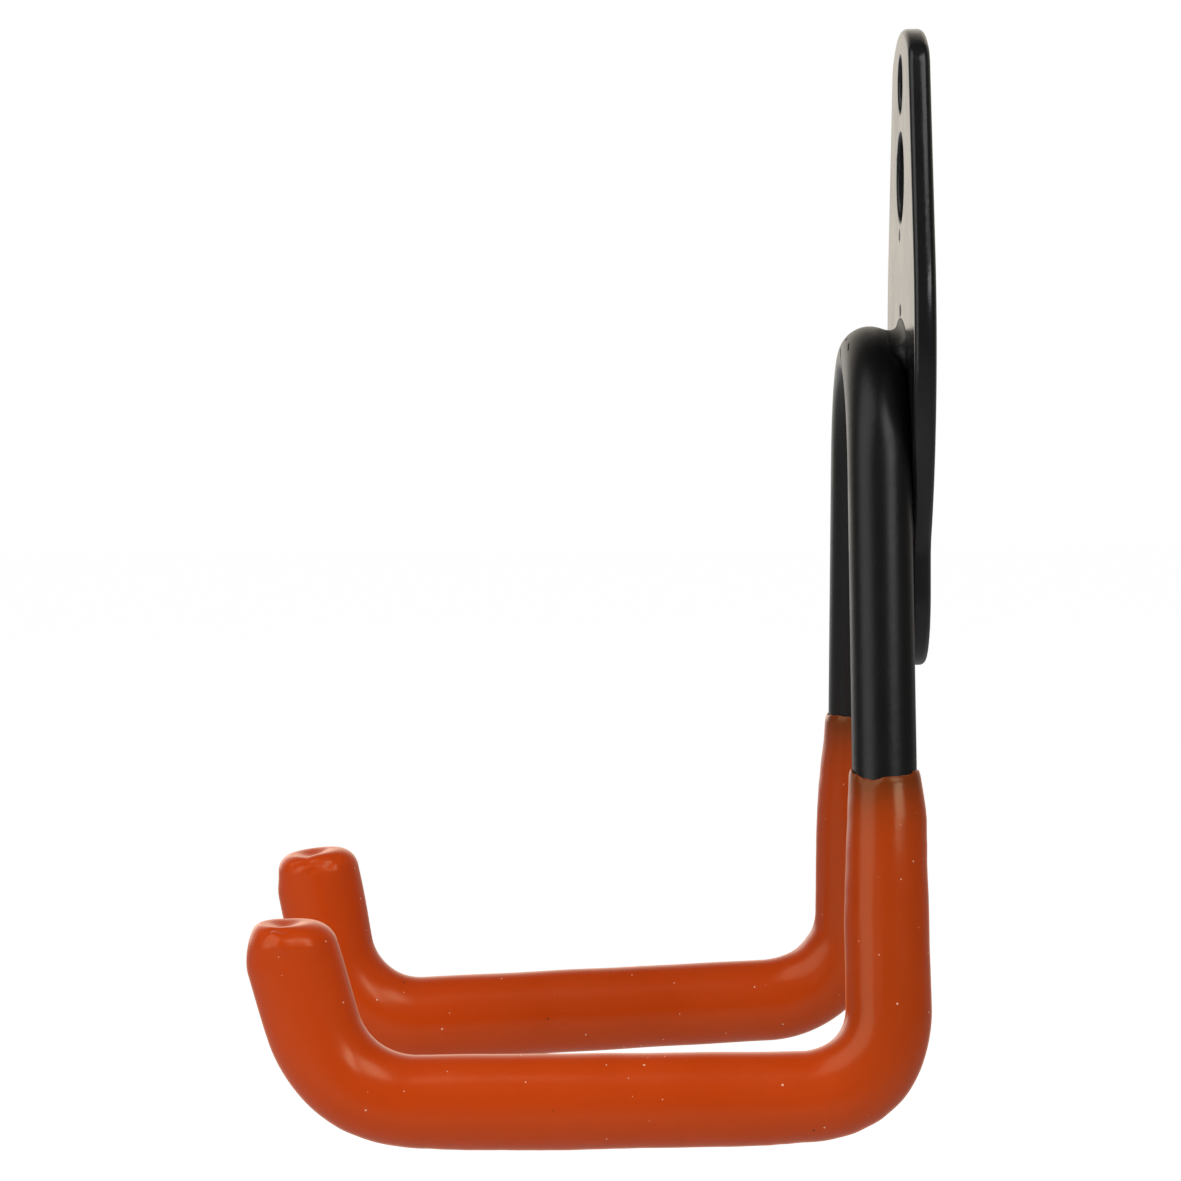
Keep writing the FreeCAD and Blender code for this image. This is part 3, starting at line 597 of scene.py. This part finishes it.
def vinyl():
    """Orange plasticised vinyl, gelled on hot steel: satin and faintly lumpy, darker where it is thin.

    The plasticiser gives it a soft sheen, and a painted sheen pales its rims to peach.
    Dust and pin holes are caught in it.
    """
    # Sizes of the patterns, in mm.
    colour_drift = 11.111
    mottle_size = 2.0
    lump_size = 4.167
    # The skin's own grain is about 0.1 mm; it is drawn three times as coarse, so that it shows.
    skin_grain = 0.3333
    dust_spacing = 1.4286
    pin_hole_spacing = 2.381
    made = bpy.data.materials.new("orange_vinyl")
    made.use_nodes = True
    tree = made.node_tree
    tree.nodes.clear()
    place = add(tree, "ShaderNodeTexCoord").outputs["Object"]
    film = add(tree, "ShaderNodeAttribute", attribute_name="film")
    cloud = add(tree, "ShaderNodeTexNoise", {
        "Vector": place, "Scale": 1 / (colour_drift * MM), "Detail": 3.0})
    orange = add(tree, "ShaderNodeMix", {
        0: cloud.outputs["Fac"], 6: paint("#ba3a03"), 7: paint("#c54005")}, data_type="RGBA")
    mottle = add(tree, "ShaderNodeTexNoise", {
        "Vector": place, "Scale": 1 / (mottle_size * MM), "Detail": 2.0})
    film_here = add(tree, "ShaderNodeMath", {
        0: mottle.outputs["Fac"], 1: 0.1, 2: film.outputs["Fac"]}, operation="MULTIPLY_ADD")
    covering = add(tree, "ShaderNodeMapRange", {
        "Value": film_here, "From Min": 0.23, "From Max": 0.69, "To Min": 0.0, "To Max": 1.0},
        interpolation_type="SMOOTHSTEP")
    full = add(tree, "ShaderNodeMapRange", {
        "Value": film_here, "From Min": 0.6, "From Max": 1.1, "To Min": 0.0, "To Max": 1.0},
        interpolation_type="SMOOTHSTEP")
    thin = add(tree, "ShaderNodeMix", {
        0: covering, 6: paint("#6d2d0a"), 7: paint("#a33706")}, data_type="RGBA")
    toned = add(tree, "ShaderNodeMix", {
        0: full, 6: thin.outputs[2], 7: orange.outputs[2]}, data_type="RGBA")
    pale = specks(tree, place, dust_spacing, limit=0.5, size=0.1)
    dark = specks(
        tree, place, pin_hole_spacing, limit=0.7, size=0.07, shift=(0.013, 0.007, 0.031))
    dusted = add(tree, "ShaderNodeMix", {
        0: pale, 6: toned.outputs[2], 7: paint("#e6b79c")}, data_type="RGBA")
    spotted = add(tree, "ShaderNodeMix", {
        0: dark, 6: dusted.outputs[2], 7: paint("#5c2a17")}, data_type="RGBA")
    gloss = add(tree, "ShaderNodeMapRange", {
        "Value": cloud.outputs["Fac"], "From Min": 0.25, "From Max": 0.75,
        "To Min": 0.22, "To Max": 0.265},
        interpolation_type="SMOOTHSTEP")
    grain = add(tree, "ShaderNodeTexNoise", {
        "Vector": place, "Scale": 1 / (skin_grain * MM), "Detail": 2.0})
    lumps = add(tree, "ShaderNodeTexNoise", {
        "Vector": place, "Scale": 1 / (lump_size * MM), "Detail": 2.0})
    fine = add(tree, "ShaderNodeBump", {
        "Height": grain.outputs["Fac"], "Strength": 0.1, "Distance": 0.01 * MM})
    relief = add(tree, "ShaderNodeBump", {
        "Height": lumps.outputs["Fac"], "Strength": 0.3, "Distance": 0.12 * MM, "Normal": fine})
    # painted sheen: the colour turns pale peach where the skin is edge-on, for the bright rims
    slant = add(tree, "ShaderNodeLayerWeight", {"Blend": 0.5})
    painted_rim_sheen = add(tree, "ShaderNodeMapRange", {
        "Value": slant.outputs["Facing"], "From Min": 0.68, "From Max": 0.98,
        "To Min": 0.0, "To Max": 0.9},
        interpolation_type="SMOOTHSTEP")
    painted_sheen_colour = add(tree, "ShaderNodeMix", {
        0: painted_rim_sheen, 6: spotted.outputs[2], 7: paint("#ff9a66")}, data_type="RGBA")
    skin = add(tree, "ShaderNodeBsdfPrincipled", {
        "Base Color": painted_sheen_colour.outputs[2], "Roughness": gloss, "IOR": 1.53,
        "Specular Tint": paint("#ffeabc"), "Sheen Weight": 0.6, "Sheen Roughness": 0.25,
        "Sheen Tint": paint("#ff8c55"), "Normal": relief})
    add(tree, "ShaderNodeOutputMaterial", {"Surface": skin})
    return made


def across_and_inward(heading):
    """Two directions across a run: X made square to it, and the one to the hook's inside."""
    across = (Vector((1, 0, 0)) - heading * heading.x).normalized()
    return across, heading.cross(across)


def dipped_arm(name, arm, seed, looks):
    """A dip as one closed skin: the inside along the bar, the lip, the outside and the end."""
    # How finely the skin is divided: points round the bar, mm along it, and steps at the end.
    sides = 120
    outside_step = 0.33
    inside_step = 1.5
    round_steps = 16
    dent_steps = 12
    # In mm: how deep the inside presses into the bar, how far down the edge's wave fades and the
    # lumps grow to full height, and how far round the tip's bend the film is at its thickest.
    bite = 0.03
    wave_fade = 9.0
    swell_grow = 6.0
    tip_settle = 3.9
    # The corner's turn in radians, and the power by which one side's film falls off round the bar.
    quarter_turn = 1.57
    falloff = 1.5
    tip = (arm["end"] - arm["turn"]).normalized()
    shoulder = arm["end"] - tip * end_round
    leg = arm["leg"]
    start = arm["corner"] - leg * ((arm_height - arm["dip"]) / leg.z)
    corners = [start, arm["corner"], arm["turn"], shoulder]
    outside = bent_line(corners, [arm["bend"], tip_bend], outside_step)
    corners[-1] = arm["bar_end"]
    inside = bent_line(corners, [arm["bend"], tip_bend], inside_step)
    walked = [0.0]
    for (first, _), (second, _) in zip(outside, outside[1:]):
        walked.append(walked[-1] + (second - first).length)
    whole = walked[-1]
    bend_at = (arm["corner"] - start).length - arm["bend"]
    tip_at = whole - arm["tip"] + tip_settle - tip_bend / 2
    films = [(dip_feather, dip_leg_film), (bend_at, dip_leg_film),
             (bend_at + arm["bend"] * quarter_turn, dip_arm_film), (tip_at, dip_tip_film),
             (whole, dip_tip_film)]
    angles = [2 * math.pi * n / sides for n in range(sides)]
    edge = [between(looks["edge"], (math.degrees(around) + 180) % 360 - 180) for around in angles]
    outer_share = [max(0.0, -math.sin(around)) ** falloff for around in angles]
    inner_share = [max(0.0, math.sin(around)) ** falloff for around in angles]
    away_share = [max(0.0, -math.cos(around)) ** falloff for around in angles]
    points = []
    cover = []

    def film_at(along):
        """The film's thickness at a length from the edge."""
        if along < dip_feather:
            return dip_leg_film - (dip_leg_film - dip_edge_film) * (1 - along / dip_feather) ** 2
        return between(films, along)

    def swell(along, around):
        """The film's lumps and hollows, about 8 mm long."""
        lump_height, hollow = 0.09, 0.04
        spot = Vector((math.cos(around) * 0.9, math.sin(around) * 0.9, along * 0.13 + seed))
        return lump_height * noise.noise(spot) - hollow

    def ring(place, heading, radii, slides, share):
        """Adds a ring of points round a place, each slid along the heading by its own slide."""
        across, inward = across_and_inward(heading)
        for around, radius, slide in zip(angles, radii, slides):
            spoke = across * math.cos(around) + inward * math.sin(around)
            points.append(place + heading * slide + spoke * radius)
        cover.extend([share] * sides)

    # the inside, from the bar's end back to the edge, pressed a little into the bar
    points.append(inside[-1][0].copy())
    cover.append(1.0)
    for place, heading in reversed(inside[1:]):
        ring(place, heading, [bar_radius - bite] * sides, [0.0] * sides, 1.0)

    # the lip, rounded from the bar to the thin film: slide along the leg, radius over the bar, cover
    thinnest = dip_edge_film / dip_tip_film
    lip = ((0.6, -bite, 0.0), (0.3, 0.0, 0.0), (0.1, 0.05, 0.05), (0.0, 0.12, 0.15), (0.04, 0.2, 0.26),
           (0.14, 0.26, 0.26), (0.3, dip_edge_film - bite, thinnest))
    for slide, radius, share in lip:
        ring(start, leg, [bar_radius + radius] * sides, [wave + slide for wave in edge], share)

    # the outside, from just below the lip to the end's shoulder
    lip_run = 0.5
    for (place, heading), along in zip(outside, walked):
        if along < lip_run:
            continue
        fade = max(0.0, 1 - along / wave_fade) ** 2
        grown = min(1.0, along / swell_grow)
        outer, inner = between(looks["outer"], along), between(looks["inner"], along)
        away = looks["away"]
        film = bar_radius + film_at(along)
        ring(place, heading,
             [film + swell(along, around) * grown + outer * low + inner * high + away * back * grown
              for around, low, high, back in zip(angles, outer_share, inner_share, away_share)],
             [wave * fade for wave in edge], film_at(along) / dip_tip_film)

    # the end, round at its corner and dented on top
    across, inward = across_and_inward(tip)
    flat_reach = bar_radius + dip_tip_film - end_round
    profile = [(flat_reach + end_round * math.cos(a), end_round * math.sin(a), math.cos(a))
               for a in (math.radians(90 * n / round_steps) for n in range(1, round_steps + 1))]
    profile += [(flat_reach * (1 - n / dent_steps),
                 end_round - end_dent * (1 - math.cos(math.pi * n / dent_steps)) / 2, 0.0)
                for n in range(1, dent_steps)]
    outer, inner = between(looks["outer"], whole), between(looks["inner"], whole)
    for radius, height, side_share in profile:
        for around, low, high, back in zip(angles, outer_share, inner_share, away_share):
            bulge = swell(whole + height, around) + outer * low + inner * high + looks["away"] * back
            spoke = across * math.cos(around) + inward * math.sin(around)
            points.append(shoulder + tip * height + spoke * (radius + bulge * side_share))
        cover.extend([1.0] * sides)
    points.append(shoulder + tip * (end_round - end_dent))
    cover.append(1.0)

    # the end's tilt, and the drops and folds that the film gels into; how far down each reaches
    tip_depth = 14
    tip_span = 20
    tilt_depth = 5.0
    pull_depth = 2.8
    first_outside = 1 + (len(inside) - 1 + len(lip)) * sides
    for number in range(first_outside, len(points)):
        local = points[number] - shoulder
        spot = Vector((local.dot(across), local.dot(inward), local.dot(tip)))
        if spot.z < -tip_depth or local.length > tip_span:
            continue
        rising = min(1.0, max(0.0, (spot.z + tilt_depth) / tilt_depth))
        lift = -looks["tilt"] * spot.y * rising * rising * (3 - 2 * rising)
        high = min(1.0, max(0.0, (spot.z + pull_depth) / looks["pull_over"]))
        pull = looks["pull"] * max(0.0, -spot.y) * high * high * (3 - 2 * high)
        # outwards from the skin: sideways below the shoulder, as on a flattened ball above it
        if spot.z > 0:
            out = Vector((spot.x * 0.9, spot.y * 0.9, spot.z * 1.5)).normalized()
        else:
            out = Vector((spot.x, spot.y, 0)).normalized()
        push = 0.0
        for one, other, width, height in looks["folds"]:
            one, other = Vector(one), Vector(other)
            length = (other - one).length_squared
            share = min(1.0, max(0.0, (spot - one).dot(other - one) / length)) if length else 0.0
            away = (spot - one.lerp(other, share)).length_squared
            push += height * math.exp(-away / (2 * width * width))
        moved = out * push
        points[number] += across * moved.x + inward * (moved.y + pull) + tip * (moved.z + lift)

    faces = [(0, 1 + n, 1 + (n + 1) % sides) for n in range(sides)]
    rings = (len(points) - 2) // sides
    for row in range(rings - 1):
        base = 1 + row * sides
        faces += [(base + n, base + sides + n, base + sides + (n + 1) % sides, base + (n + 1) % sides)
                  for n in range(sides)]
    base = 1 + (rings - 1) * sides
    faces += [(base + n, len(points) - 1, base + (n + 1) % sides) for n in range(sides)]
    mesh = bpy.data.meshes.new(name)
    mesh.from_pydata([point * MM for point in points], [], faces)
    film_share = mesh.attributes.new("film", "FLOAT", "POINT")
    film_share.data.foreach_set("value", cover)
    turn_outward(mesh)
    mesh.shade_smooth()
    made = bpy.data.objects.new(name, mesh)
    scene.collection.objects.link(made)
    return made


orange_vinyl = vinyl()
# How each dip ran and gelled, in mm: its upper edge's wave by the angle round the bar, where 0 is the
# +X side and 90 the inside of the hook; the film added outside and inside, by the length from the
# edge, and on the -X side; the end's tilt and pull; and its folds (two ends, half width, height).
right_looks = {
    "edge": [(-180, 0.3), (-140, 0.1), (-90, -0.84), (-60, -0.53), (-39, 0.09), (-20, 0.27), (3, 0.37),
             (22, 0.74), (40, 0.5), (60, -0.1), (90, -0.93), (130, -0.2), (180, 0.3)],
    "outer": [(0, 0), (5, 0.15), (8, -0.02), (11, -0.12), (15, -0.07), (20, -0.04), (24, 0), (30, 0.1),
              (36, 0.38), (38.5, 0.2), (40.5, -0.05), (43, -0.28), (45, -0.32), (48, -0.12), (50, 0),
              (55, 0.12), (61, 0.1), (65, 0.06), (68, 0.13), (71, 0.2), (74, 0.25), (77, 0.2),
              (80, 0.16), (83, 0.07), (86, 0), (89, -0.1), (92, -0.25), (95, -0.45), (98, -0.42),
              (100, -0.3), (104, -0.2), (112, 0)],
    "inner": [(0, 0), (3, -0.15), (6, -0.28), (10, -0.25), (14, -0.1), (18, 0)],
    "away": 0.0,
    "tilt": 0.22,
    "pull": 0.29,
    "pull_over": 4.8,
    "folds": [((5.74, -0.2, 0.9), (5.74, -0.2, 0.9), 0.9, 0.3),
              ((4.8, 3.4, 0.3), (4.8, 3.4, 0.3), 1.0, 0.25),
              ((4.13, -1.2, 2.4), (4.46, 0.7, 2.3), 0.45, -0.25),
              ((5.3, -2.6, 1.3), (4.6, -0.9, 2.2), 0.3, 0.14),
              ((5.3, -2.2, 0.9), (4.9, -0.7, 1.7), 0.25, -0.1)],
}
left_looks = {
    "edge": [(-180, 0.2), (-110, -0.4), (-60, -0.5), (0, -0.9), (40, -0.85), (60, -0.55), (90, 0.0),
             (140, 0.3), (180, 0.2)],
    "outer": [(0, 0), (120, 0)],
    "inner": [(0, 0), (4, -0.2), (8, -0.05), (11, 0.1), (14, 0.2), (19, 0.3), (23, 0.36), (30, 0.32),
              (36, 0.2), (42, 0), (114, 0), (121, 0.1)],
    "away": -0.08,
    "tilt": 0.06,
    "pull": 0.11,
    "pull_over": 3.4,
    "folds": [((5.45, -1.3, 1.2), (5.45, -1.3, 1.2), 1.0, 0.25),
              ((4.74, 3.5, 0.2), (4.74, 3.5, 0.2), 1.0, 0.22),
              ((3.62, 3.7, 1.8), (5.07, 2.5, 1.1), 0.3, -0.15),
              ((5.07, 2.5, 1.1), (5.8, 0.0, 0.7), 0.3, -0.15),
              ((5.8, 0.0, 0.7), (5.7, -1.5, 0.1), 0.3, -0.12),
              ((4.52, -2.7, 1.7), (5.16, 1.4, 1.6), 0.3, -0.16),
              ((1.5, -0.6, 2.6), (4.6, -0.8, 2.2), 0.8, -0.3)],
}
for name, node, arm, seed, looks in (("right_dip", "right_arm_coating", right, 3.1, right_looks),
                                     ("left_dip", "left_arm_coating", left, 8.4, left_looks)):
    dip = dipped_arm(name, arm, seed, looks)
    dip.data.materials.append(orange_vinyl)
    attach(dip, "root")
    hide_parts(node)

# The picture's tones.
scene.view_settings.view_transform = "Standard"
